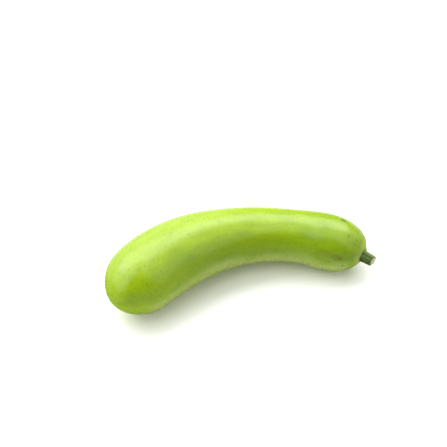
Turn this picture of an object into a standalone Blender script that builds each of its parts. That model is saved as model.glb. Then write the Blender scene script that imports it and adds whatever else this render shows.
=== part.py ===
"""Bottle gourd: one curved fruit with its short cut stem, lying on its side.

Run it with  blender --background --python part.py,  or from Blender's text editor.

Units are metres, +Z is up and the ground is z = 0. The fruit is a round body swept along a
curved centreline that starts at the blossom end, where the flower was, and runs to the stem
end. The centreline lies in one plane, which leans a little so that the thick blossom half and
the shoulder at the stem end both rest on the ground, as a gourd lies when it is put down.
"""

import math

import bmesh
import bpy
import numpy as np
from mathutils import Vector

# ---- Centreline ----------------------------------------------------------------------------
LENGTH = 0.288                  # along the centreline, blossom end to stem end
BLOSSOM_HEADING = 62.5          # degrees from +X at the blossom end, seen from above
# How hard the centreline bends to the right, in 1/m, at equal steps along it. A gourd that
# grows on the ground or over a support bends most where it is youngest, at the stem end.
BENDS = (2.7, 6.3, 5.6, 9.9)

# ---- Fruit ---------------------------------------------------------------------------------
# Radius at five places, as shares of the length: thick blossom half, waist, slight shoulder.
RADIUS_PLACES = (0.13, 0.30, 0.48, 0.65, 0.82)
RADII = (0.0352, 0.0361, 0.0318, 0.0279, 0.0287)
BLOSSOM_ROUND = 0.037           # how far the rounding of the blossom end reaches
BLOSSOM_POWER = 2.1             # 2 is an ellipse, more is blunter
STEM_ROUND = 0.052              # how far the rounding of the stem end reaches
STEM_POWER = 1.9
SCAR_RADIUS = 0.0028            # small flat scar that the flower left
SEAT_RADIUS = 0.0063            # flat seat that the stem grows from
REST_PLACES = (0.29, 0.86)      # the two bellies that rest on the ground
REST_SINK = 0.0006              # how much each belly is flattened by lying on it
FRUIT_RINGS = 46
FRUIT_SIDES = 36

# ---- Stem ----------------------------------------------------------------------------------
STEM_GAP = 0.0003               # clear space between the seat and the stem
STEM_LENGTH = 0.0128
STEM_PLACES = (0.0, 0.25, 0.55, 1.0)             # shares of the stem's length
STEM_RADII = (0.0062, 0.0057, 0.0055, 0.0051)    # flared foot, neck, neck, cut end
STEM_RINGS = 9
STEM_RIBS = 5
RIB_DEPTH = 0.11                # share of the radius
POINTS_PER_RIB = 8

# ---- Finish --------------------------------------------------------------------------------
SKIN_COLOUR = (0.40, 0.61, 0.05)
SKIN_ROUGHNESS = 0.40
STEM_COLOUR = (0.10, 0.15, 0.03)
STEM_ROUGHNESS = 0.70

PART_NAME = "bottle_gourd"
WELD = 0.00001
SHARP_ANGLE = 40.0              # degrees; edges bent more than this stay crisp
TABLE_STEPS = 2000              # fine steps for sums along the centreline


def clear_scene():
    """Remove every object that the opened file holds."""
    for item in list(bpy.data.objects):
        bpy.data.objects.remove(item, do_unlink=True)


def collection(name):
    """Return a new collection in the scene."""
    made = bpy.data.collections.new(name)
    bpy.context.scene.collection.children.link(made)
    return made


def material(name, colour, roughness):
    """Return a plain non-metal material."""
    made = bpy.data.materials.new(name)
    made.use_nodes = True
    shader = made.node_tree.nodes["Principled BSDF"]
    shader.inputs["Base Color"].default_value = (*colour, 1.0)
    shader.inputs["Roughness"].default_value = roughness
    shader.inputs["Metallic"].default_value = 0.0
    return made


def smooth_through(places, values, at):
    """Read, at some places, the smooth curve that passes through a few stated values."""
    return np.polyval(np.polyfit(places, values, len(places) - 1), at)


def end_rounding(distance, reach, power):
    """Return the share of the full radius at a distance from a rounded end."""
    inside = np.clip(1.0 - distance / reach, 0.0, 1.0)
    return (1.0 - inside ** power) ** (1.0 / power)


def fruit_radius(share):
    """Return the fruit's radius at a share of the centreline's length."""
    along = np.asarray(share) * LENGTH
    full = smooth_through(RADIUS_PLACES, RADII, share)
    blossom = end_rounding(along, BLOSSOM_ROUND, BLOSSOM_POWER)
    stem = end_rounding(LENGTH - along, STEM_ROUND, STEM_POWER)
    return full * blossom * stem


def place_of_radius(radius, at_stem_end):
    """Return the share of the length where one end has narrowed to a radius."""
    middle = 0.5
    end = 1.0 if at_stem_end else 0.0
    shares = np.linspace(middle, end, TABLE_STEPS)
    wide_enough = fruit_radius(shares) >= radius
    return shares[np.flatnonzero(wide_enough)[-1]]


class Centreline:
    """The curved line that the fruit grew along, from the blossom end to the stem end."""

    def __init__(self):
        self.shares = np.linspace(0.0, 1.0, TABLE_STEPS)
        bend = smooth_through(np.linspace(0.0, 1.0, len(BENDS)), BENDS, self.shares)
        step = LENGTH / (TABLE_STEPS - 1)
        turned = self.running_sum(bend) * step
        self.heading = math.radians(BLOSSOM_HEADING) - turned
        self.x = self.running_sum(np.cos(self.heading)) * step
        self.y = self.running_sum(np.sin(self.heading)) * step
        self.z = self.resting_height()

    @staticmethod
    def running_sum(values):
        """Return the sum of a table's steps so far, by the trapezium rule."""
        return np.concatenate(([0.0], np.cumsum((values[1:] + values[:-1]) / 2.0)))

    def resting_height(self):
        """Return the height of a leaning plane that sets both bellies on the ground."""
        first, second = REST_PLACES
        start = np.array([np.interp(first, self.shares, axis) for axis in (self.x, self.y)])
        end = np.array([np.interp(second, self.shares, axis) for axis in (self.x, self.y)])
        low, high = fruit_radius(first) - REST_SINK, fruit_radius(second) - REST_SINK
        run = end - start
        reach = ((self.x - start[0]) * run[0] + (self.y - start[1]) * run[1]) / run.dot(run)
        return low + reach * (high - low)

    def point(self, share):
        """Return the point at a share of the length."""
        return Vector([np.interp(share, self.shares, axis) for axis in (self.x, self.y, self.z)])

    def direction(self, share):
        """Return the unit direction towards the stem end at a share of the length."""
        near = 1.0 / TABLE_STEPS
        return (self.point(share) - self.point(share - near)).normalized()


def tube_mesh(name, points, radii, sides=None, profile=None):
    """Sweep a round section, or a profile object of unit size, along points as a closed mesh."""
    curve = bpy.data.curves.new(name + "_path", "CURVE")
    curve.dimensions = "3D"
    curve.twist_mode = "Z_UP"
    curve.use_fill_caps = True
    if profile is None:
        curve.bevel_depth = 1.0                     # so each point's radius is in metres
        curve.bevel_resolution = sides // 2 - 2
    else:
        curve.bevel_mode = "OBJECT"
        curve.bevel_object = profile
    spline = curve.splines.new("POLY")
    spline.points.add(len(points) - 1)
    for spline_point, point, radius in zip(spline.points, points, radii):
        spline_point.co = (*point, 1.0)
        spline_point.radius = radius
    path = bpy.data.objects.new(name + "_path", curve)
    bpy.context.scene.collection.objects.link(path)
    bpy.context.view_layer.update()
    evaluated = path.evaluated_get(bpy.context.evaluated_depsgraph_get())
    mesh = bpy.data.meshes.new_from_object(evaluated)
    mesh.name = name
    bpy.data.objects.remove(path, do_unlink=True)
    weld_caps(mesh)
    return mesh


def weld_caps(mesh):
    """Join the loose end caps of a swept mesh and point all faces out."""
    work = bmesh.new()
    work.from_mesh(mesh)
    bmesh.ops.remove_doubles(work, verts=work.verts, dist=WELD)
    bmesh.ops.recalc_face_normals(work, faces=work.faces)
    work.to_mesh(mesh)
    work.free()


def place_part(name, mesh, finish, home, frame):
    """Make a smooth-shaded object of the part, in its collection and under its frame."""
    mesh.materials.clear()
    mesh.materials.append(finish)
    mesh.shade_smooth()
    mesh.set_sharp_from_angle(angle=math.radians(SHARP_ANGLE))
    item = bpy.data.objects.new(name, mesh)
    item.parent = frame
    home.objects.link(item)
    return item


def make_guide(item, home):
    """Move an object to the guides, drawn as wire and left out of the part."""
    for owner in list(item.users_collection):
        owner.objects.unlink(item)
    home.objects.link(item)
    item.hide_render = True
    item.display_type = "WIRE"


def make_fruit(centreline, seat, home, guides, frame):
    """Make the whole fruit: swept body, rounded ends, blossom scar, seat and flattened bellies."""
    scar = place_of_radius(SCAR_RADIUS, at_stem_end=False)
    spread = (1.0 - np.cos(np.linspace(0.0, math.pi, FRUIT_RINGS))) / 2.0    # closer at the ends
    shares = scar + (seat - scar) * spread
    points = [centreline.point(share) for share in shares]
    mesh = tube_mesh("gourd", points, fruit_radius(shares), sides=FRUIT_SIDES)
    fruit = place_part("gourd", mesh, material("gourd_skin", SKIN_COLOUR, SKIN_ROUGHNESS), home, frame)

    side = 2.0 * LENGTH
    bpy.ops.mesh.primitive_cube_add(size=side, location=(LENGTH / 2.0, 0.0, -side / 2.0))
    ground = bpy.context.object
    ground.name = "ground_cutter"
    make_guide(ground, guides)
    rest = fruit.modifiers.new("flatten_bellies", "BOOLEAN")
    rest.operation = "DIFFERENCE"
    rest.solver = "EXACT"
    rest.object = ground
    return fruit


def make_rib_profile(guides):
    """Make the stem's ribbed section, with a mean radius of one metre."""
    count = STEM_RIBS * POINTS_PER_RIB
    curve = bpy.data.curves.new("stem_section", "CURVE")
    curve.dimensions = "2D"
    spline = curve.splines.new("POLY")
    spline.points.add(count - 1)
    spline.use_cyclic_u = True
    for number, spline_point in enumerate(spline.points):
        angle = 2.0 * math.pi * number / count
        radius = 1.0 + RIB_DEPTH * math.cos(STEM_RIBS * angle)
        spline_point.co = (radius * math.cos(angle), radius * math.sin(angle), 0.0, 1.0)
    section = bpy.data.objects.new("stem_section", curve)
    bpy.context.scene.collection.objects.link(section)
    make_guide(section, guides)
    return section


def make_stem(centreline, seat, home, guides, frame):
    """Make the cut stem, straight out of the fruit's seat."""
    out = centreline.direction(seat)
    foot = centreline.point(seat) + out * STEM_GAP
    shares = np.linspace(0.0, 1.0, STEM_RINGS)
    points = [foot + out * (STEM_LENGTH * share) for share in shares]
    radii = smooth_through(STEM_PLACES, STEM_RADII, shares)
    mesh = tube_mesh("stem", points, radii, profile=make_rib_profile(guides))
    return place_part("stem", mesh, material("stem_rind", STEM_COLOUR, STEM_ROUGHNESS), home, frame)


def centre_on_base(frame, items):
    """Move the frame so that the middle of the part's bounding box is above the origin."""
    bpy.context.view_layer.update()
    graph = bpy.context.evaluated_depsgraph_get()
    spots = []
    for item in items:
        ready = item.evaluated_get(graph)
        spots += [ready.matrix_world @ vertex.co for vertex in ready.data.vertices]
    spots = np.array(spots)
    middle = (spots.min(axis=0) + spots.max(axis=0)) / 2.0
    frame.location = (-middle[0], -middle[1], 0.0)


def main():
    """Build the fruit and its stem in one frame."""
    clear_scene()
    home = collection(PART_NAME)
    guides = collection("guides")
    frame = bpy.data.objects.new("frame", None)
    home.objects.link(frame)
    centreline = Centreline()
    seat = place_of_radius(SEAT_RADIUS, at_stem_end=True)
    fruit = make_fruit(centreline, seat, home, guides, frame)
    stem = make_stem(centreline, seat, home, guides, frame)
    centre_on_base(frame, (fruit, stem))


main()
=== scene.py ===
"""Looks of a long curved bottle gourd: its skin, its ribbed cut stem, and a plain studio.

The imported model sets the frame. The fruit and the stem each replace one of its nodes and stay in
the space that the node holds. Units are metres, +Z is up and the ground is z = 0.
"""

import logging
import math
from dataclasses import dataclass
from enum import Enum

import bpy
import numpy as np
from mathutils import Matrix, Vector


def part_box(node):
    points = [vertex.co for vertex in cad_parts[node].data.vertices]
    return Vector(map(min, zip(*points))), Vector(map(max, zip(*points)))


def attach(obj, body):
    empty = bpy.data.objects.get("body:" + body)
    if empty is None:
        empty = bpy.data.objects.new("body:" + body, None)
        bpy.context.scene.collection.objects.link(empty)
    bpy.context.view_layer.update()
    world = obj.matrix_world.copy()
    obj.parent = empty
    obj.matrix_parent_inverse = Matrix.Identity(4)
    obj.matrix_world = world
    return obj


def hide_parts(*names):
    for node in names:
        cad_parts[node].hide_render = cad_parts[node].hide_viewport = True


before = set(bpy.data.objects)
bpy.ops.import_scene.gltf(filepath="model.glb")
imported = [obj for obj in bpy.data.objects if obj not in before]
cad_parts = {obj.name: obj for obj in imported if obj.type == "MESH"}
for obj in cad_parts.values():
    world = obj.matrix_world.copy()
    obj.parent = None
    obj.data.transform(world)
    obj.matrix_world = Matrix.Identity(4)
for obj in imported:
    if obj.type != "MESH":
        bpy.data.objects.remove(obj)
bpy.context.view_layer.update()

LOG = logging.getLogger("bottle_gourd")
BODY = "root"
UNBENT = "unbent"               # attribute: where a point lies on the gourd laid out straight
SPREAD = "spread"               # attribute: where a point lies on the paper
AXIS_GUARD = 0.000001           # keeps a division by a radius safe on the axis
SHADER = "Principled BSDF"      # the shader that a new material starts with
UPWARDS = 90.0                  # the angle round the gourd that faces straight up

Array = np.ndarray
Socket = bpy.types.NodeSocket
Colour = tuple[float, float, float]
Term = "Value | float"
WHITE: Colour = (1.0, 1.0, 1.0)


# ---- Shader maths --------------------------------------------------------------------------


class Operation(Enum):
    """The sums that a value of a shader can go through."""

    ADD = "ADD"
    SUBTRACT = "SUBTRACT"
    MULTIPLY = "MULTIPLY"
    DIVIDE = "DIVIDE"
    POWER = "POWER"
    LARGER = "MAXIMUM"


class Value:
    """A number that changes over a surface, with Python's arithmetic."""

    def __init__(self, graph: "Graph", socket: Socket) -> None:
        """Wrap one output.

        Args:
            graph: The graph that the output belongs to.
            socket: The output socket.
        """
        self.graph = graph
        self.socket = socket

    def _sum(self, operation: Operation, first: Term, second: Term) -> "Value":
        """Add the Math node of one sum.

        Args:
            operation: What the node does.
            first: Its first input.
            second: Its second input.

        Returns:
            The node's result.
        """
        settings = {"operation": operation.value}
        node = self.graph.node("ShaderNodeMath", settings, {0: first, 1: second})
        return Value(self.graph, node.outputs[0])

    def __add__(self, other: Term) -> "Value":
        """Add two values."""
        return self._sum(Operation.ADD, self, other)

    __radd__ = __add__

    def __sub__(self, other: Term) -> "Value":
        """Take another value from this one."""
        return self._sum(Operation.SUBTRACT, self, other)

    def __rsub__(self, other: float) -> "Value":
        """Take this value from a number."""
        return self._sum(Operation.SUBTRACT, other, self)

    def __mul__(self, other: Term) -> "Value":
        """Multiply two values."""
        return self._sum(Operation.MULTIPLY, self, other)

    __rmul__ = __mul__

    def __truediv__(self, other: Term) -> "Value":
        """Divide this value by another."""
        return self._sum(Operation.DIVIDE, self, other)

    def __pow__(self, other: float) -> "Value":
        """Raise this value to a power."""
        return self._sum(Operation.POWER, self, other)

    def larger(self, other: Term) -> "Value":
        """Return the larger of two values."""
        return self._sum(Operation.LARGER, self, other)

    def ramp(self, low: float, high: float) -> "Value":
        """Return 0 below one limit, 1 above the other, and a smooth rise between them.

        Args:
            low: Where the result is 0. It may be the larger limit, which turns the ramp round.
            high: Where the result is 1.

        Returns:
            The smooth step.
        """
        settings = {"interpolation_type": "SMOOTHSTEP", "clamp": True}
        sockets = {0: self, 1: low, 2: high, 3: 0.0, 4: 1.0}
        return Value(self.graph, self.graph.node("ShaderNodeMapRange", settings, sockets).outputs[0])


@dataclass(frozen=True)
class Layer:
    """A colour that comes in over another while a value goes from one limit to the other."""

    start: float        # the value where it begins to show
    full: float         # the value where it shows most
    share: float = 1.0  # how much of it shows there

    def cover(self, value: Value) -> Value:
        """Return how much of the layer covers a point."""
        return value.ramp(self.start, self.full) * self.share


@dataclass(frozen=True)
class Clouds:
    """A cloudy noise, which can be drawn out along the gourd."""

    size: float           # the width of its largest clouds, in metres
    detail: float         # how many finer layers it has
    rough: float = 0.5    # how strong the finer layers are
    squeeze: float = 1.0  # width over length of a cloud that is drawn out


class Graph:
    """The nodes of a material or of the world, added one after another."""

    def __init__(self, owner: bpy.types.ID) -> None:
        """Start the nodes.

        Args:
            owner: The new material or world.
        """
        owner.use_nodes = True
        self.owner = owner
        self.tree = owner.node_tree

    def node(self, kind: str, settings: dict[str, object],
             sockets: dict[object, object]) -> bpy.types.Node:
        """Add a node.

        Args:
            kind: The node's type.
            settings: Its properties, which are set first.
            sockets: The values or links of its inputs, by name or number.

        Returns:
            The new node.
        """
        made = self.tree.nodes.new(kind)
        for key, setting in settings.items():
            setattr(made, key, setting)
        for key, given in sockets.items():
            self.feed(made.inputs[key], given)
        return made

    def feed(self, socket: Socket, given: object) -> None:
        """Give an input a link, a number, a vector or a colour.

        Args:
            socket: The input.
            given: A Value, an output socket, or a constant.
        """
        if isinstance(given, Value):
            self.tree.links.new(given.socket, socket)
        elif isinstance(given, Socket):
            self.tree.links.new(given, socket)
        elif socket.type == "RGBA":
            socket.default_value = (*given, 1.0)
        else:
            socket.default_value = given

    def attribute(self, name: str) -> Socket:
        """Return a vector that the mesh carries at its points."""
        return self.node("ShaderNodeAttribute", {"attribute_name": name}, {}).outputs["Vector"]

    def ray(self, kind: str) -> Value:
        """Return 1 for one kind of ray and 0 for the others."""
        return Value(self, self.node("ShaderNodeLightPath", {}, {}).outputs[kind])

    def stretched(self, vector: Socket, scale: Colour) -> Socket:
        """Return a vector multiplied part by part."""
        made = self.node("ShaderNodeVectorMath", {"operation": "MULTIPLY"}, {0: vector, 1: scale})
        return made.outputs[0]

    def moved(self, vector: Socket, shift: object) -> Socket:
        """Return a vector with another added."""
        made = self.node("ShaderNodeVectorMath", {"operation": "ADD"}, {0: vector, 1: shift})
        return made.outputs[0]

    def distance(self, vector: Socket, place: Colour) -> Value:
        """Return how far a vector is from a place."""
        made = self.node("ShaderNodeVectorMath", {"operation": "DISTANCE"}, {0: vector, 1: place})
        return Value(self, made.outputs["Value"])

    def parts(self, vector: Socket) -> tuple[Value, Value, Value]:
        """Return a vector's three numbers."""
        made = self.node("ShaderNodeSeparateXYZ", {}, {0: vector})
        return tuple(Value(self, output) for output in made.outputs)

    def noise(self, vector: Socket, clouds: Clouds) -> Value:
        """Add a cloudy noise.

        Args:
            vector: Where to read it.
            clouds: What it is like.

        Returns:
            The noise, about 0 to 1 with a mean of 0.5.
        """
        sockets = {
            "Vector": self.stretched(vector, (clouds.squeeze, 1.0, 1.0)),
            "Scale": 1.0 / clouds.size,
            "Detail": clouds.detail,
            "Roughness": clouds.rough,
        }
        made = self.node("ShaderNodeTexNoise", {"noise_dimensions": "3D"}, sockets)
        return Value(self, made.outputs[0])

    def cells(self, vector: Socket, size: float) -> tuple[Value, Value]:
        """Add scattered points.

        Args:
            vector: Where to read them.
            size: The mean space between points, in metres.

        Returns:
            The distance to the nearest point in metres, and a random number of that point.
        """
        settings = {"voronoi_dimensions": "3D", "feature": "F1"}
        sockets = {"Vector": vector, "Scale": 1.0 / size, "Randomness": 1.0}
        made = self.node("ShaderNodeTexVoronoi", settings, sockets)
        number = self.node("ShaderNodeSeparateColor", {}, {0: made.outputs["Color"]})
        return Value(self, made.outputs["Distance"]) * size, Value(self, number.outputs[0])

    def mix(self, share: Value, under: object, over: object) -> Socket:
        """Lay one colour over another.

        Args:
            share: How much of the upper colour shows.
            under: The lower colour.
            over: The upper colour.

        Returns:
            The mixed colour.
        """
        settings = {"data_type": "RGBA", "blend_type": "MIX", "clamp_factor": True}
        return self.node("ShaderNodeMix", settings, {0: share, 6: under, 7: over}).outputs[2]

    def bump(self, height: Value, metres: float, under: Socket | None = None) -> Socket:
        """Turn a height into a normal.

        Args:
            height: The relief, from 0 to 1.
            metres: How high 1 stands.
            under: A normal to lay it on.

        Returns:
            The bumped normal.
        """
        sockets = {"Strength": 1.0, "Distance": metres, "Height": height}
        if under is not None:
            sockets["Normal"] = under
        return self.node("ShaderNodeBump", {}, sockets).outputs[0]

    def finish(self, shader: str, inputs: dict[str, object]) -> bpy.types.ID:
        """Feed the shader that closes the graph.

        Args:
            shader: The shader's name.
            inputs: The values or links of its inputs, by name.

        Returns:
            The finished material or world.
        """
        for name, given in inputs.items():
            self.feed(self.tree.nodes[shader].inputs[name], given)
        return self.owner


class Spot:
    """Where a point of the skin or stem lies on the gourd laid out straight."""

    def __init__(self, graph: Graph) -> None:
        """Read the place that the mesh carries.

        Args:
            graph: The graph to add to.
        """
        self.vector = graph.attribute(UNBENT)
        self.along, self.across, self.up = graph.parts(self.vector)
        self.radius = (self.across * self.across + self.up * self.up) ** 0.5 + AXIS_GUARD

    def facing(self, angle: float) -> Value:
        """Return how squarely the point faces a direction, 1 for straight at it.

        Args:
            angle: Degrees round the gourd, 90 straight up, 180 to the inside of the bend.

        Returns:
            The cosine of the angle between the two.
        """
        turn = math.radians(angle)
        return (self.across * math.cos(turn) + self.up * math.sin(turn)) / self.radius


# ---- Finishes ------------------------------------------------------------------------------


@dataclass(frozen=True)
class Mark:
    """A small natural mark on the skin; one broad faint one among the dots is painted shade."""

    share: float     # along the fruit, 0 at the blossom end
    angle: float     # degrees round it, 90 on top, 180 on the inside of the bend
    width: float     # metres
    length: float    # metres, along the fruit
    strength: float  # how dark it is, from 0 to 1


DOTS_AND_PAINTED_SHADE = (
    Mark(0.90, 67.0, 0.0030, 0.0046, 0.90),
    Mark(0.94, 104.0, 0.0019, 0.0019, 0.64),
    Mark(0.325, 108.0, 0.0015, 0.0016, 0.52),
    Mark(0.43, 213.0, 0.0015, 0.0020, 0.70),
    Mark(0.19, 170.0, 0.0016, 0.0016, 0.55),
    Mark(0.84, 118.0, 0.0015, 0.0022, 0.40),
    Mark(0.90, 176.0, 0.0016, 0.0026, 0.50),
    Mark(0.955, 187.0, 0.0018, 0.0022, 0.80),
    Mark(0.97, 98.0, 0.0022, 0.0080, 0.50),
    Mark(0.97, 112.0, 0.0026, 0.0060, 0.30),
    Mark(0.95, 120.0, 0.0012, 0.0080, 0.25),
    # A broad faint patch of painted shade below the highlight on the stem-end shoulder
    Mark(0.83, 123.0, 0.0110, 0.0340, 0.24),
    Mark(0.22, 138.0, 0.0150, 0.0420, 0.14),
    Mark(0.01, 150.0, 0.0130, 0.0150, 0.15),
)
SMUDGES = (
    Mark(0.88, 156.0, 0.0040, 0.0170, 0.30),
    Mark(0.93, 162.0, 0.0050, 0.0210, 0.52),
    Mark(0.94, 164.0, 0.0028, 0.0090, 0.70),
)


@dataclass(frozen=True)
class Specks:
    """Small round dots strewn over a surface."""

    space: float                     # the mean space between them, in metres
    dot: Layer                       # metres from a dot's middle
    chance: Layer                    # by a dot's random number, so that some are missing
    shift: Colour = (0.0, 0.0, 0.0)  # keeps two sets from falling on each other

    def cover(self, graph: Graph, vector: Socket) -> Value:
        """Strew them.

        Args:
            graph: The graph to add to.
            vector: Where a point lies.

        Returns:
            How much of a dot covers a point.
        """
        distance, number = graph.cells(graph.moved(vector, self.shift), self.space)
        return self.dot.cover(distance) * self.chance.cover(number)


@dataclass(frozen=True)
class SkinFinish:
    """The smooth, faintly mottled rind of a young gourd."""

    lime: Colour = (0.362, 0.538, 0.005)
    leaf: Colour = (0.315, 0.481, 0.003)
    # Deep green of the skin's own mottles and streaks, also used for the painted shade band below
    deep_green_and_painted_shade: Colour = (0.205, 0.343, 0.002)
    pale: Colour = (0.420, 0.575, 0.020)
    speck: Colour = (0.062, 0.190, 0.001)
    olive: Colour = (0.135, 0.165, 0.001)
    # Pale greyish green: painted reflected light from the paper on the underside, and the pale ring round
    # the stem
    painted_bounce_and_collar: Colour = (0.475, 0.590, 0.160)
    scar: Colour = (0.240, 0.300, 0.020)

    tone: Clouds = Clouds(0.060, 2.0)
    mottle: Clouds = Clouds(0.0075, 4.0, 0.62, 0.25)
    grain: Clouds = Clouds(0.0026, 3.0, 0.60)
    streaks: Clouds = Clouds(0.0045, 3.0, 0.60, 0.10)
    pores: Clouds = Clouds(0.0011, 2.0)
    patches: Clouds = Clouds(0.040, 1.0)

    lime_tone: Layer = Layer(0.35, 0.65)
    deep_mottle: Layer = Layer(0.42, 0.78, 0.55)
    pale_grain: Layer = Layer(0.52, 0.80, 0.22)
    deep_grain: Layer = Layer(0.50, 0.24, 0.30)
    deep_streaks: Layer = Layer(0.54, 0.80, 0.42)

    stem_half: Layer = Layer(0.45, 0.90)           # shares of the length
    stem_half_plain: float = 0.14
    stem_half_mottle: Layer = Layer(0.35, 0.65, 0.25)
    # Painted shade: a band of deep green round the inside of the bend, below the top, growing towards the
    # stem
    painted_shade_angle: float = 157.0                     # degrees round the fruit
    painted_shade: Layer = Layer(0.78, 1.00, 0.60)         # how squarely a point faces that way
    painted_shade_at_blossom: float = 0.30
    painted_shade_growth: Layer = Layer(0.00, 0.40, 0.70)  # shares of the length

    # The underside is painted paler as reflected light from the paper below; these say where
    painted_bounce_side: Layer = Layer(0.30, -0.24, 0.80)     # how squarely a point faces up
    painted_bounce_waver: float = 0.5                         # how much the noises shift its edge
    painted_bounce_past_blossom: Layer = Layer(0.005, 0.028)  # metres from the blossom end
    painted_bounce_before_stem: Layer = Layer(0.000, 0.016)   # metres from the stem end
    collar: Layer = Layer(0.0060, 0.0010, 0.55)      # metres from the stem end
    scar_spot: Layer = Layer(0.0036, 0.0020, 0.20)   # metres from the blossom end

    large_specks: Specks = Specks(0.0040, Layer(0.0010, 0.0004), Layer(0.20, 0.80))
    small_specks: Specks = Specks(0.0022, Layer(0.0006, 0.0002, 0.6), Layer(0.3, 0.9), (0.31, 0.17, 0.23))
    specks_between: float = 0.16               # their strength between patches
    speck_patches: Layer = Layer(0.36, 0.58, 0.60)
    shoulder_angle: float = 125.0              # degrees round the fruit
    specks_elsewhere: float = 0.25             # their strength off the shoulder
    shoulder: Layer = Layer(0.30, 0.95, 0.75)  # how squarely a point faces that way
    mark_core: float = 0.35                    # evenly dark share of a mark's width
    fray_scale: float = 900.0                  # fineness of its ragged edge, in 1/m
    fray: float = 0.0016                       # how ragged the edge is, in metres

    pore_height: float = 0.00006
    mark_depth: float = 0.00003
    smoothest: float = 0.20
    mottle_roughness: float = 0.08
    grain_roughness: float = 0.06

    def dress(self, shape: "FruitShape") -> bpy.types.Material:
        """Make the material.

        Args:
            shape: The fruit that wears it, for the places of marks.

        Returns:
            The finished material.
        """
        graph = Graph(bpy.data.materials.new("gourd_skin"))
        spot = Spot(graph)
        tone = graph.noise(spot.vector, self.tone)
        mottle = graph.noise(spot.vector, self.mottle)
        grain = graph.noise(spot.vector, self.grain)
        streaks = graph.noise(spot.vector, self.streaks)

        colour = graph.mix(self.lime_tone.cover(tone), self.leaf, self.lime)
        colour = graph.mix(self.deep_mottle.cover(mottle), colour, self.deep_green_and_painted_shade)
        colour = graph.mix(self.pale_grain.cover(grain), colour, self.pale)
        colour = graph.mix(self.deep_grain.cover(grain), colour, self.deep_green_and_painted_shade)
        colour = graph.mix(self.deep_streaks.cover(streaks), colour, self.deep_green_and_painted_shade)

        share = spot.along / shape.length
        stem_half = self.stem_half_plain + self.stem_half_mottle.cover(mottle)
        colour = graph.mix(stem_half * self.stem_half.cover(share), colour, self.deep_green_and_painted_shade)
        # Painted shade: deep green laid in a band facing the inside of the bend, stronger towards the
        # stem
        painted_shade = self.painted_shade_at_blossom + self.painted_shade_growth.cover(share)
        painted_shade = painted_shade * self.painted_shade.cover(spot.facing(self.painted_shade_angle))
        colour = graph.mix(painted_shade, colour, self.deep_green_and_painted_shade)
        # Painted reflected light: the underside laid paler, with the pale ring round the stem
        colour = graph.mix(self.painted_bounce_and_collar_cover(spot, shape, mottle + tone), colour, self.painted_bounce_and_collar)

        colour = graph.mix(self.speck_cover(graph, spot), colour, self.speck)
        # The dots include one broad patch of painted shade on the stem-end shoulder
        marks = self.mark_cover(graph, spot, shape, DOTS_AND_PAINTED_SHADE)
        colour = graph.mix(marks, colour, self.speck)
        colour = graph.mix(self.mark_cover(graph, spot, shape, SMUDGES), colour, self.olive)
        from_blossom = graph.distance(spot.vector, (0.0, 0.0, 0.0))
        colour = graph.mix(self.scar_spot.cover(from_blossom), colour, self.scar)

        relief = (graph.noise(spot.vector, self.pores) + grain) * 0.5
        normal = graph.bump(1.0 - marks, self.mark_depth, graph.bump(relief, self.pore_height))
        roughness = self.smoothest + self.mottle_roughness * mottle + self.grain_roughness * grain
        return graph.finish(SHADER, {
            "Base Color": colour,
            "Roughness": roughness,
            "Normal": normal,
            "IOR": 1.60,
            "Subsurface Weight": 0.12,
            "Subsurface Radius": (0.6, 1.0, 0.25),
            "Subsurface Scale": 0.004,
        })

    def painted_bounce_and_collar_cover(self, spot: Spot, shape: "FruitShape", noises: Value) -> Value:
        """Work out the paler green painted below as reflected light from the paper, and the pale ring
        round the stem.

        Args:
            spot: Where a point lies.
            shape: The fruit, for its length.
            noises: The sum of two noises, which makes the edge waver.

        Returns:
            The share of the pale green.
        """
        painted_bounce = self.painted_bounce_side.cover(spot.facing(UPWARDS) + self.painted_bounce_waver * (noises - 1.0))
        to_stem = shape.length - spot.along
        middle = self.painted_bounce_past_blossom.cover(spot.along) * self.painted_bounce_before_stem.cover(to_stem)
        return (painted_bounce * middle).larger(self.collar.cover(to_stem))

    def speck_cover(self, graph: Graph, spot: Spot) -> Value:
        """Strew small green specks, more in some patches than in others.

        Args:
            graph: The graph to add to.
            spot: Where a point lies.

        Returns:
            How much of a speck covers a point.
        """
        patches = self.speck_patches.cover(graph.noise(spot.vector, self.patches))
        large = self.large_specks.cover(graph, spot.vector)
        small = self.small_specks.cover(graph, spot.vector)
        shoulder = self.specks_elsewhere + self.shoulder.cover(spot.facing(self.shoulder_angle))
        return large.larger(small) * (self.specks_between + patches) * shoulder

    def mark_cover(self, graph: Graph, spot: Spot, shape: "FruitShape", marks: tuple[Mark, ...]) -> Value:
        """Place some of the larger natural marks, with the broad patch of painted shade among the dots.

        Args:
            graph: The graph to add to.
            spot: Where a point lies.
            shape: The fruit, for the place of each mark.
            marks: The marks.

        Returns:
            How much of a mark covers a point.
        """
        sockets = {"Vector": spot.vector, "Scale": self.fray_scale}
        wobble = graph.node("ShaderNodeTexNoise", {}, sockets).outputs["Color"]
        wobble = graph.stretched(graph.moved(wobble, (-0.5,) * 3), (self.fray,) * 3)
        frayed = graph.moved(spot.vector, wobble)
        cover = None
        for mark in marks:
            scale = (mark.width / mark.length, 1.0, 1.0)
            place = shape.unbent_place(mark.share, math.radians(mark.angle))
            squeezed = tuple(part * factor for part, factor in zip(place, scale))
            distance = graph.distance(graph.stretched(frayed, scale), squeezed)
            fading = Layer(mark.width, mark.width * self.mark_core, mark.strength)
            spread = fading.cover(distance)
            cover = spread if cover is None else cover.larger(spread)
        return cover


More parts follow.
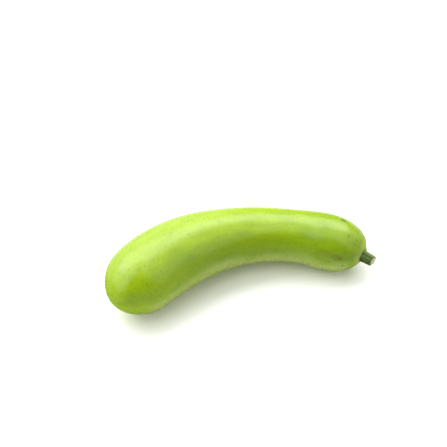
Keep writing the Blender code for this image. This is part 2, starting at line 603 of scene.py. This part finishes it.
@dataclass(frozen=True)
class StemFinish:
    """The dark fibrous side of the cut stem."""

    green: Colour = (0.070, 0.135, 0.008)
    dark: Colour = (0.030, 0.066, 0.003)
    # Pale for fibres, rib crests and the tip, and for the painted light on the stem's top
    pale: Colour = (0.34, 0.40, 0.18)
    fibres: Clouds = Clouds(0.0009, 3.0, 0.6, 0.10)
    blotches: Clouds = Clouds(0.0045, 3.0, 0.6)
    green_blotches: Layer = Layer(0.35, 0.70)
    pale_fibres: Layer = Layer(0.50, 0.80, 0.25)
    crest: Layer = Layer(0.0044, 0.0058, 0.10)  # metres from the axis
    # Painted light: the side of the stem that faces up and out is laid pale, as if lit
    painted_light_angle: float = 60.0                    # degrees round the stem
    painted_light: Layer = Layer(0.78, 0.98, 0.65)       # how squarely a point faces that way
    tip: Layer = Layer(0.0108, 0.0130, 0.30)    # metres from the foot
    fibre_height: float = 0.00025
    smoothest: float = 0.55
    fibre_roughness: float = 0.25

    def dress(self) -> bpy.types.Material:
        """Make the material.

        Returns:
            The finished material.
        """
        graph = Graph(bpy.data.materials.new("stem_rind"))
        spot = Spot(graph)
        fibres = graph.noise(spot.vector, self.fibres)
        blotches = graph.noise(spot.vector, self.blotches)
        colour = graph.mix(self.green_blotches.cover(blotches), self.dark, self.green)
        colour = graph.mix(self.pale_fibres.cover(fibres), colour, self.pale)
        colour = graph.mix(self.crest.cover(spot.radius), colour, self.pale)
        # Painted light on the stem's lit upper side
        colour = graph.mix(self.painted_light.cover(spot.facing(self.painted_light_angle)), colour, self.pale)
        colour = graph.mix(self.tip.cover(spot.along), colour, self.pale)
        normal = graph.bump(fibres, self.fibre_height)
        roughness = self.smoothest + self.fibre_roughness * fibres
        inputs = {"Base Color": colour, "Roughness": roughness, "Normal": normal, "IOR": 1.30}
        return graph.finish(SHADER, inputs)


@dataclass(frozen=True)
class CutFinish:
    """The pale end of the stem, where it was cut from the vine."""

    pith: Colour = (0.62, 0.66, 0.42)
    ring: Colour = (0.20, 0.26, 0.09)
    fibre: Colour = (0.36, 0.33, 0.16)
    grain: Clouds = Clouds(0.0007, 2.0, 0.6)
    fibre_grain: Layer = Layer(0.35, 0.75, 0.4)
    bundles: Specks = Specks(0.0011, Layer(0.0006, 0.0002), Layer(0.1, 0.5))
    bundles_inside: Layer = Layer(0.0022, 0.0030)   # metres from the axis
    bundles_outside: Layer = Layer(0.0042, 0.0035)  # metres from the axis
    rim: Layer = Layer(0.0037, 0.0045, 0.85)        # metres from the axis
    grain_height: float = 0.0002
    smoothest: float = 0.65
    grain_roughness: float = 0.2

    def dress(self) -> bpy.types.Material:
        """Make the material.

        Returns:
            The finished material.
        """
        graph = Graph(bpy.data.materials.new("stem_cut"))
        spot = Spot(graph)
        grain = graph.noise(spot.vector, self.grain)
        band = self.bundles_inside.cover(spot.radius) * self.bundles_outside.cover(spot.radius)
        colour = graph.mix(self.fibre_grain.cover(grain), self.pith, self.fibre)
        colour = graph.mix(band * self.bundles.cover(graph, spot.vector), colour, self.ring)
        colour = graph.mix(self.rim.cover(spot.radius), colour, self.ring)
        normal = graph.bump(grain, self.grain_height)
        roughness = self.smoothest + self.grain_roughness * grain
        return graph.finish(SHADER, {"Base Color": colour, "Roughness": roughness, "Normal": normal})


@dataclass(frozen=True)
class FloorFinish:
    """Plain white studio paper."""

    white: Colour = (1.00, 1.00, 1.00)         # how light it looks
    in_bounce: Colour = (0.92, 0.92, 0.90)     # how light it is for the light it throws back
    gloss_front: Colour = (0.07, 0.07, 0.07)   # how light the front looks in a glossy skin
    gloss_behind: Colour = (0.90, 0.90, 0.90)  # how light the back can look in it
    behind: Layer = Layer(0.0, 0.15, 0.55)     # metres behind the middle
    glow: Colour = (0.068, 0.070, 0.052)       # light that comes through it from below
    far: Colour = (0.90, 0.90, 0.90)           # how it glows to the camera, far off
    away: Layer = Layer(0.7, 1.6)              # metres from the middle

    def dress(self) -> bpy.types.Material:
        """Make the material.

        Returns:
            The finished material.
        """
        graph = Graph(bpy.data.materials.new("studio_paper"))
        spread = graph.attribute(SPREAD)
        _, back, _ = graph.parts(spread)
        seen = graph.ray("Is Camera Ray")
        colour = graph.mix(seen, self.in_bounce, self.white)
        gloss = graph.mix(self.behind.cover(back), self.gloss_front, self.gloss_behind)
        colour = graph.mix(graph.ray("Is Glossy Ray"), colour, gloss)
        away = self.away.cover(graph.distance(spread, (0.0, 0.0, 0.0)))
        return graph.finish(SHADER, {
            "Base Color": colour,
            "Roughness": 0.95,
            "IOR": 1.3,
            "Emission Color": graph.mix(seen * away, self.glow, self.far),
            "Emission Strength": 1.0,
        })


# ---- Making things -------------------------------------------------------------------------


def added(name: str, data: bpy.types.ID) -> bpy.types.Object:
    """Add an object to the scene.

    Args:
        name: Its name.
        data: Its mesh, light or camera.

    Returns:
        The new object.
    """
    item = bpy.data.objects.new(name, data)
    bpy.context.scene.collection.objects.link(item)
    return item


def carry(mesh: bpy.types.Mesh, name: str, places: Array) -> None:
    """Let a mesh carry a vector at each of its points.

    Args:
        mesh: The mesh.
        name: The attribute's name.
        places: The vectors, in the order of the points.
    """
    attribute = mesh.attributes.new(name, "FLOAT_VECTOR", "POINT")
    attribute.data.foreach_set("vector", places.astype(np.float32).ravel())


def ring_mesh(name: str, points: Array, straight: Array) -> bpy.types.Mesh:
    """Skin a row of rings as one closed mesh, with a point at each end.

    Args:
        name: The mesh's name.
        points: The points, by ring and side.
        straight: The same points laid out straight.

    Returns:
        The mesh, which carries the straight points as an attribute.
    """
    rings, sides = points.shape[:2]

    def flat(table: Array) -> Array:
        """Return the middle rings' points, and then the middles of the two end rings."""
        return np.concatenate([table[1:-1].reshape(-1, 3), table[[0, -1]].mean(axis=1)])

    number = np.arange((rings - 2) * sides).reshape(rings - 2, sides)
    after = np.roll(number, -1, axis=1)
    quads = np.stack([number[:-1], after[:-1], after[1:], number[1:]], axis=2).reshape(-1, 4)
    first, last = number.size, number.size + 1
    start = [(first, b, a) for a, b in zip(number[0].tolist(), after[0].tolist())]
    end = [(last, a, b) for a, b in zip(number[-1].tolist(), after[-1].tolist())]
    mesh = bpy.data.meshes.new(name)
    mesh.from_pydata(flat(points).tolist(), [], quads.tolist() + start + end)
    carry(mesh, UNBENT, flat(straight))
    mesh.validate()
    mesh.shade_smooth()
    return mesh


def smooth_through(places: tuple[float, ...], values: tuple[float, ...], at: Array) -> Array:
    """Read the smooth curve that passes through a few stated values.

    Args:
        places: Where the values are stated.
        values: The stated values.
        at: Where to read the curve.

    Returns:
        The curve's values there.
    """
    return np.polyval(np.polyfit(places, values, len(places) - 1), at)


def bell(distance: Array, width: float) -> Array:
    """Return a smooth hump, 1 in the middle and near 0 beyond two widths."""
    return np.exp(-((distance / width) ** 2))


def running_sum(values: Array) -> Array:
    """Return the sum of a table's steps so far, by the trapezium rule."""
    return np.concatenate(([0.0], np.cumsum((values[1:] + values[:-1]) / 2.0)))


def unit(vectors: Array) -> Array:
    """Return vectors at a length of 1."""
    return vectors / np.linalg.norm(vectors, axis=-1, keepdims=True)


def round_angles(sides: int) -> Array:
    """Return the angles of a section's sides."""
    return np.linspace(0.0, 2.0 * math.pi, sides, endpoint=False)


# ---- Fruit ---------------------------------------------------------------------------------


@dataclass(frozen=True)
class FruitShape:
    """The plain shape of the fruit: a round section swept along a bent centreline."""

    length: float = 0.288
    heading: float = 62.5                            # degrees from +X at the blossom end
    bends: tuple[float, ...] = (2.7, 6.3, 5.6, 9.9)  # in 1/m, at equal steps
    places: tuple[float, ...] = (0.13, 0.30, 0.48, 0.65, 0.82)
    radii: tuple[float, ...] = (0.0352, 0.0361, 0.0318, 0.0279, 0.0287)
    blossom_round: float = 0.037                     # how far the end's rounding reaches
    blossom_power: float = 2.1                       # 2 is an ellipse, more is blunter
    stem_round: float = 0.052
    stem_power: float = 1.9
    rest_places: tuple[float, float] = (0.29, 0.86)  # the two bellies that touch the ground
    rest_sink: float = 0.0006
    table_rows: int = 2001                           # rows in the centreline's table

    def radius(self, share: Array) -> Array:
        """Work out the plain radius.

        Args:
            share: Shares of the length.

        Returns:
            The radii there.
        """
        along = share * self.length
        full = smooth_through(self.places, self.radii, share)
        blossom = self.rounding(along, self.blossom_round, self.blossom_power)
        stem = self.rounding(self.length - along, self.stem_round, self.stem_power)
        return full * blossom * stem

    @staticmethod
    def rounding(distance: Array, reach: float, power: float) -> Array:
        """Return the share of the full radius at a distance from a rounded end.

        Args:
            distance: How far from the end, in metres.
            reach: How far the rounding goes.
            power: 2 for an ellipse, more for a blunter end.

        Returns:
            0 at the end, 1 beyond the reach.
        """
        inside = np.clip(1.0 - distance / reach, 0.0, 1.0)
        return (1.0 - inside**power) ** (1.0 / power)

    def centreline(self, shares: Array) -> tuple[Array, Array]:
        """Work out the centreline, with the blossom end at x = y = 0.

        Args:
            shares: Shares of the length, from 0 to 1.

        Returns:
            The points, and the unit directions towards the stem end.
        """
        table = np.linspace(0.0, 1.0, self.table_rows)
        step = self.length / (self.table_rows - 1)
        bend = smooth_through(tuple(np.linspace(0.0, 1.0, len(self.bends))), self.bends, table)
        heading = math.radians(self.heading) - running_sum(bend) * step
        spots = np.stack([running_sum(np.cos(heading)), running_sum(np.sin(heading))], axis=1) * step
        line = np.column_stack([spots, self.resting_height(table, spots)])
        slope = unit(np.gradient(line, axis=0))
        points = np.stack([np.interp(shares, table, line[:, axis]) for axis in range(3)], axis=1)
        ways = np.stack([np.interp(shares, table, slope[:, axis]) for axis in range(3)], axis=1)
        return points, ways

    def resting_height(self, table: Array, spots: Array) -> Array:
        """Lean the centreline's plane so that both bellies lie on the ground.

        Args:
            table: Shares of the length.
            spots: The centreline from above at those shares.

        Returns:
            The heights.
        """
        first, second = (
            np.array([np.interp(place, table, spots[:, axis]) for axis in (0, 1)])
            for place in self.rest_places
        )
        low, high = (self.radius(place) - self.rest_sink for place in self.rest_places)
        run = second - first
        return low + (spots - first) @ run / run.dot(run) * (high - low)

    def unbent_place(self, share: float, angle: float) -> Colour:
        """Return where a point of the skin lies on the gourd laid out straight.

        Args:
            share: Its share of the length.
            angle: Its angle round the fruit, in radians.

        Returns:
            The distance along, and the two distances across.
        """
        radius = float(self.radius(share))
        return share * self.length, radius * math.cos(angle), radius * math.sin(angle)


@dataclass(frozen=True)
class Dent:
    """A shallow hollow or crease in the skin."""

    share: float   # along the fruit, 0 at the blossom end
    angle: float   # degrees round it
    length: float  # metres, along the fruit
    width: float   # metres, round it
    depth: float   # metres


DENTS = (
    Dent(0.925, 164.0, 0.010, 0.0035, 0.00045),
    Dent(0.895, 176.0, 0.006, 0.0030, 0.00025),
    Dent(0.640, 150.0, 0.030, 0.0120, 0.00035),
    Dent(0.330, 70.0, 0.035, 0.0150, 0.00030),
    Dent(0.180, 330.0, 0.014, 0.0100, 0.00045),
    Dent(0.560, 20.0, 0.028, 0.0120, 0.00040),
)


@dataclass(frozen=True)
class Fruit:
    """The whole fruit with its relief: slow waves, faint ribs, puckers, dents and scar."""

    shape: FruitShape = FruitShape()
    finish: SkinFinish = SkinFinish()
    rings: int = 330
    sides: int = 208

    wave_height: float = 0.00028
    wave_turns: tuple[int, ...] = (1, 2, 2, 3, 3, 4, 5)  # waves round the fruit, one set each
    wave_beats: tuple[float, float] = (0.8, 4.5)         # fewest and most waves along it
    wave_sizes: tuple[float, float] = (0.4, 1.0)
    wave_fade: float = 0.06                              # share of the length, at either end
    seed: int = 7

    rib_count: int = 10
    rib_height: float = 0.00010
    rib_at_blossom: float = 0.35  # share of the height at the stem
    rib_sway: float = 2.0         # radians that the ribs wander
    rib_sway_rate: float = 3.0
    rib_full_radius: float = 0.02

    pucker_depth: float = 0.00018
    pucker_reach: float = 0.012
    pucker_from: float = 0.005  # radius where the folds start
    pucker_ease: float = 0.010  # how far on they are full
    pucker_turn: float = 0.6    # radians
    collar_radius: float = 0.0078
    collar_width: float = 0.0022
    collar_height: float = 0.0007
    collar_lobes: int = 5
    collar_unevenness: float = 0.25

    scar_radius: float = 0.0030
    scar_width: float = 0.0010
    scar_height: float = 0.00028
    scar_lobes: int = 4
    scar_turn: float = 1.0  # radians
    scar_unevenness: float = 0.3
    pit_share: float = 0.9  # of the scar's height
    pit_width: float = 0.0016
    blossom_flat: float = 0.0005
    blossom_flat_width: float = 0.010

    def ring_shares(self) -> Array:
        """Return the shares of the length where the rings stand, closer together at the ends."""
        return (1.0 - np.cos(np.linspace(0.0, math.pi, self.rings))) / 2.0

    def relief(self, shares: Array, angles: Array) -> Array:
        """Work out how far the skin stands out of the plain shape.

        Args:
            shares: The rings' shares of the length.
            angles: The sides' angles.

        Returns:
            A height in metres for each ring and side.
        """
        share, angle = shares[:, None], angles[None, :]
        radius = self.shape.radius(shares)[:, None]
        ribs = np.cos(self.rib_count * angle + self.rib_sway * np.sin(self.rib_sway_rate * share))
        ribs = ribs * (self.rib_at_blossom + (1.0 - self.rib_at_blossom) * share)
        ribs = ribs * self.rib_height * np.clip(radius / self.rib_full_radius, 0.0, 1.0)
        height = self.waves(share, angle) + ribs + self.ends(share, angle, radius)
        for dent in DENTS:
            round_it = (angle - math.radians(dent.angle) + math.pi) % (2.0 * math.pi) - math.pi
            reach = bell((share - dent.share) * self.shape.length, dent.length)
            height = height - dent.depth * reach * bell(round_it * radius, dent.width)
        return height

    def waves(self, share: Array, angle: Array) -> Array:
        """Work out the slow unevenness of a grown fruit, the same in every run.

        Args:
            share: The rings' shares of the length.
            angle: The sides' angles.

        Returns:
            Its height in metres.
        """
        dice = np.random.default_rng(self.seed)
        height = np.zeros(np.broadcast_shapes(share.shape, angle.shape))
        for turns in self.wave_turns:
            beats = dice.uniform(*self.wave_beats)
            start, shift = dice.uniform(0.0, 2.0 * math.pi, 2)
            size = dice.uniform(*self.wave_sizes) / turns
            height += size * np.sin(turns * angle + start) * np.sin(2.0 * math.pi * beats * share + shift)
        ends = np.clip(np.minimum(share, 1.0 - share) / self.wave_fade, 0.0, 1.0)
        return self.wave_height * height * ends

    def ends(self, share: Array, angle: Array, radius: Array) -> Array:
        """Work out the relief of the ends.

        Round the stem the skin has puckers and a raised collar. At the other end the flower left
        a scar on a slightly flattened tip.

        Args:
            share: The rings' shares of the length.
            angle: The sides' angles.
            radius: The rings' radii.

        Returns:
            Its height in metres.
        """
        folds = (1.0 - np.cos(self.rib_count * angle + self.pucker_turn)) / 2.0
        near = bell((1.0 - share) * self.shape.length, self.pucker_reach)
        pucker = np.clip((radius - self.pucker_from) / self.pucker_ease, 0.0, 1.0) * near
        lobes = 1.0 + self.collar_unevenness * np.cos(self.collar_lobes * angle)
        collar = bell(radius - self.collar_radius, self.collar_width) * lobes
        at_stem = self.collar_height * collar - self.pucker_depth * folds * pucker
        pit = self.pit_share * bell(radius, self.pit_width)
        lobes = 1.0 + self.scar_unevenness * np.cos(self.scar_lobes * angle + self.scar_turn)
        scar = (bell(radius - self.scar_radius, self.scar_width) - pit) * lobes
        flat = self.blossom_flat * bell(radius, self.blossom_flat_width)
        return np.where(share > 0.5, at_stem, self.scar_height * scar - flat)

    def skin_points(self, relief: bool) -> tuple[Array, Array]:
        """Sweep the section along the centreline.

        Args:
            relief: Whether the relief is laid on the plain shape.

        Returns:
            The points of each ring and side, and the same points laid out straight.
        """
        shares, angles = self.ring_shares(), round_angles(self.sides)
        centres, ways = self.shape.centreline(shares)
        outer = unit(np.stack([-ways[:, 1], ways[:, 0], np.zeros(self.rings)], axis=1))
        upper = np.cross(ways, outer)
        radius = self.shape.radius(shares)
        along = shares * self.shape.length
        lean = np.gradient(along) + 1j * np.gradient(radius)
        lean /= np.abs(lean)
        height = self.relief(shares, angles) if relief else np.zeros((self.rings, self.sides))
        out = radius[:, None] + height * lean.real[:, None]
        shift = -height * lean.imag[:, None]
        cosine, sine = np.cos(angles), np.sin(angles)
        spoke = cosine[None, :, None] * outer[:, None, :] + sine[None, :, None] * upper[:, None, :]
        points = centres[:, None, :] + out[:, :, None] * spoke + shift[:, :, None] * ways[:, None, :]
        reach = radius[:, None]
        straight = [np.broadcast_to(along[:, None], out.shape), reach * cosine, reach * sine]
        return points, np.stack(straight, axis=2)

    def home(self) -> Vector:
        """Work out the move that puts the plain shape in the box of its node.

        Returns:
            The move, which is level.
        """
        points, _ = self.skin_points(relief=False)
        low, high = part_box("gourd")
        own = (points.min(axis=(0, 1)) + points.max(axis=(0, 1))) / 2.0
        middle = (low + high) / 2.0
        return Vector((middle.x - own[0], middle.y - own[1], 0.0))

    def build(self) -> bpy.types.Object:
        """Build the fruit and lay it on the ground.

        Returns:
            The finished piece.
        """
        points, straight = self.skin_points(relief=True)
        points = points + np.array(self.home())
        points[:, :, 2] = np.maximum(points[:, :, 2], 0.0)
        mesh = ring_mesh("gourd_fruit", points, straight)
        mesh.materials.append(self.finish.dress(self.shape))
        return added("gourd_fruit", mesh)


# ---- Stem ----------------------------------------------------------------------------------


@dataclass(frozen=True)
class Stem:
    """The short ribbed stem, cut straight across."""

    shape: FruitShape
    finish: StemFinish = StemFinish()
    cut: CutFinish = CutFinish()
    length: float = 0.0128
    places: tuple[float, ...] = (0.0, 0.25, 0.55, 1.0)  # shares of the stem's length
    radii: tuple[float, ...] = (0.0062, 0.0057, 0.0055, 0.0051)
    ribs: int = 5
    rib_depth: float = 0.11                             # share of the radius
    small_rib_depth: float = 0.035
    small_rib_turn: float = 0.5                         # radians
    sunk: float = 0.0012                                # how far the foot reaches into the seat
    seat_share: float = 0.9967                          # where it stands, along the fruit
    rings: int = 60
    sides: int = 120

    bevel: float = 0.0004
    bevel_rings: int = 5
    bevel_rings_of_side: int = 3  # the rest belong to the cut face
    cut_rings: int = 22
    cut_lean: float = 0.06
    cut_lean_power: int = 6       # high, so that only the end leans
    hollow: float = 0.0004        # the dip in the middle of the cut face
    hollow_width: float = 0.0016
    ring_height: float = 0.00012  # the low ring round it
    ring_radius: float = 0.0030
    ring_width: float = 0.0008

    def section(self, angles: Array) -> Array:
        """Work out the ribbed section.

        Args:
            angles: The sides' angles.

        Returns:
            Its radius there, as a share of the mean radius.
        """
        ribs = self.rib_depth * np.cos(self.ribs * angles)
        small_ribs = self.small_rib_depth * np.cos(2 * self.ribs * angles + self.small_rib_turn)
        return 1.0 + ribs + small_ribs

    def rows(self) -> tuple[Array, Array, int]:
        """Work out the rows of the side and of the cut face.

        Returns:
            The distances along, the mean radii, and the number of the cut face's first row.
        """
        side = np.linspace(-self.sunk, self.length - self.bevel, self.rings)
        side_radius = smooth_through(self.places, self.radii, np.clip(side / self.length, 0.0, 1.0))
        turn = np.linspace(0.0, math.pi / 2.0, self.bevel_rings + 1)[1:]
        bevel_along = self.length - self.bevel + self.bevel * np.sin(turn)
        bevel_radius = side_radius[-1] - self.bevel * (1.0 - np.cos(turn))
        face_radius = bevel_radius[-1] * np.linspace(1.0, 0.0, self.cut_rings)[1:]
        ring = self.ring_height * bell(face_radius - self.ring_radius, self.ring_width)
        face_along = self.length + ring - self.hollow * bell(face_radius, self.hollow_width)
        along = np.concatenate([side, bevel_along, face_along])
        radii = np.concatenate([side_radius, bevel_radius, face_radius])
        return along, radii, self.rings + self.bevel_rings_of_side

    def build(self, home: Vector) -> bpy.types.Object:
        """Build the stem where it grows out of the fruit.

        Args:
            home: The move that the fruit makes into its node's box.

        Returns:
            The finished piece.
        """
        along, radii, first_cut_row = self.rows()
        angles = round_angles(self.sides)
        centre, way = self.shape.centreline(np.array([self.seat_share]))
        foot, out = centre[0] + np.array(home), way[0]
        outer = unit(np.array([-out[1], out[0], 0.0]))
        upper = np.cross(out, outer)
        rib_share = np.clip(radii / self.radii[-1], 0.0, 1.0)[:, None]
        radius = radii[:, None] * (1.0 + (self.section(angles)[None, :] - 1.0) * rib_share)
        across, up = radius * np.cos(angles), radius * np.sin(angles)
        lean_share = np.clip(along / self.length, 0.0, 1.0)[:, None] ** self.cut_lean_power
        distance = along[:, None] + self.cut_lean * across * lean_share
        points = foot + distance[:, :, None] * out + across[:, :, None] * outer + up[:, :, None] * upper
        mesh = ring_mesh("stem_stalk", points, np.stack([distance, across, up], axis=2))
        mesh.materials.append(self.finish.dress())
        mesh.materials.append(self.cut.dress())
        for face in mesh.polygons:
            upper_row = min(face.vertices) // self.sides + 2        # the mesh leaves out the first row
            if upper_row >= first_cut_row:
                face.material_index = 1
        return added("stem_stalk", mesh)


# ---- Studio --------------------------------------------------------------------------------


def hung(item: bpy.types.Object, target: Vector, azimuth: float, elevation: float,
         distance: float) -> None:
    """Put a camera or a light at some distance from a target and turn it there.

    Args:
        item: The camera or light.
        target: What it looks at.
        azimuth: Degrees round from the front, -Y, towards +X.
        elevation: Degrees up.
        distance: Metres from the target.
    """
    turn, rise = math.radians(azimuth), math.radians(elevation)
    way = Vector((math.sin(turn) * math.cos(rise), -math.cos(turn) * math.cos(rise), math.sin(rise)))
    item.location = target + way * distance
    item.rotation_euler = way.to_track_quat("Z", "Y").to_euler()


@dataclass(frozen=True)
class Softbox:
    """A large rectangular studio light."""

    name: str
    azimuth: float    # degrees round from the front, towards +X
    elevation: float  # degrees up
    distance: float
    width: float
    height: float
    watts: float

    def build(self, target: Vector) -> None:
        """Hang the light.

        Args:
            target: What it lights.
        """
        light = bpy.data.lights.new(self.name, "AREA")
        light.shape = "RECTANGLE"
        light.size = self.width
        light.size_y = self.height
        light.energy = self.watts
        item = added(self.name, light)
        hung(item, target, self.azimuth, self.elevation, self.distance)
        item.visible_camera = False


@dataclass(frozen=True)
class Studio:
    """White paper, soft light from behind and above, and the camera."""

    aim: Vector = Vector((-0.0192, 0.0547, 0.030))  # what the camera looks at
    camera_elevation: float = 45.0                  # degrees
    camera_distance: float = 1.10
    lens: float = 85.0                              # millimetres, as is the sensor
    sensor: float = 36.0
    paper: FloorFinish = FloorFinish()
    floor_side: float = 12.0
    ambient: float = 0.05                           # the walls' strength as a light
    wall: float = 0.95                              # their strength as seen
    light_target: Vector = Vector((0.0, 0.0, 0.03))
    softboxes: tuple[Softbox, ...] = (
        Softbox("overhead_softbox", 201.0, 58.0, 1.5, 3.55, 1.14, 41.0),
        Softbox("back_softbox", 225.0, 22.0, 1.6, 3.5, 1.15, 15.5),
        Softbox("left_softbox", 292.0, 40.0, 1.5, 1.35, 1.85, 12.0),
        Softbox("right_softbox", 90.0, 45.0, 1.5, 2.4, 2.2, 14.0),
        Softbox("top_softbox", 0.0, 88.0, 1.5, 1.1, 1.1, 3.8),
    )

    def build(self) -> None:
        """Build the floor, the lights and the camera."""
        self.floor()
        self.room()
        for softbox in self.softboxes:
            softbox.build(self.light_target)
        self.camera()
        bpy.context.scene.view_settings.view_transform = "Standard"

    def floor(self) -> None:
        """Lay the paper on the ground."""
        half = self.floor_side / 2.0
        corners = [(-half, -half, 0.0), (half, -half, 0.0), (half, half, 0.0), (-half, half, 0.0)]
        mesh = bpy.data.meshes.new("studio_floor")
        mesh.from_pydata(corners, [], [(0, 1, 2, 3)])
        carry(mesh, SPREAD, np.array(corners))
        mesh.materials.append(self.paper.dress())
        added("studio_floor", mesh)

    def room(self) -> None:
        """Put the floor in a white room whose walls give only a little light."""
        graph = Graph(bpy.data.worlds.new("studio_room"))
        strength = self.ambient + (self.wall - self.ambient) * graph.ray("Is Camera Ray")
        room = graph.finish("Background", {"Color": WHITE, "Strength": strength})
        bpy.context.scene.world = room

    def camera(self) -> None:
        """Set up the camera."""
        data = bpy.data.cameras.new("camera")
        data.lens = self.lens
        data.sensor_width = self.sensor
        camera = added("camera", data)
        hung(camera, self.aim, 0.0, self.camera_elevation, self.camera_distance)
        bpy.context.scene.camera = camera


# ---- Assembly ------------------------------------------------------------------------------


def hand_over(piece: bpy.types.Object, node: str) -> None:
    """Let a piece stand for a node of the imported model.

    Args:
        piece: The finished piece.
        node: The node that it replaces.
    """
    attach(piece, BODY)
    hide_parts(node)
    LOG.info("%s stands for %s, %d faces", piece.name, node, len(piece.data.polygons))


def main() -> None:
    """Build the fruit, the stem and the studio, and report them."""
    logging.basicConfig(level=logging.INFO)
    fruit = Fruit()
    hand_over(fruit.build(), "gourd")
    hand_over(Stem(fruit.shape).build(fruit.home()), "stem")
    Studio().build()


if __name__ == "__main__":
    main()
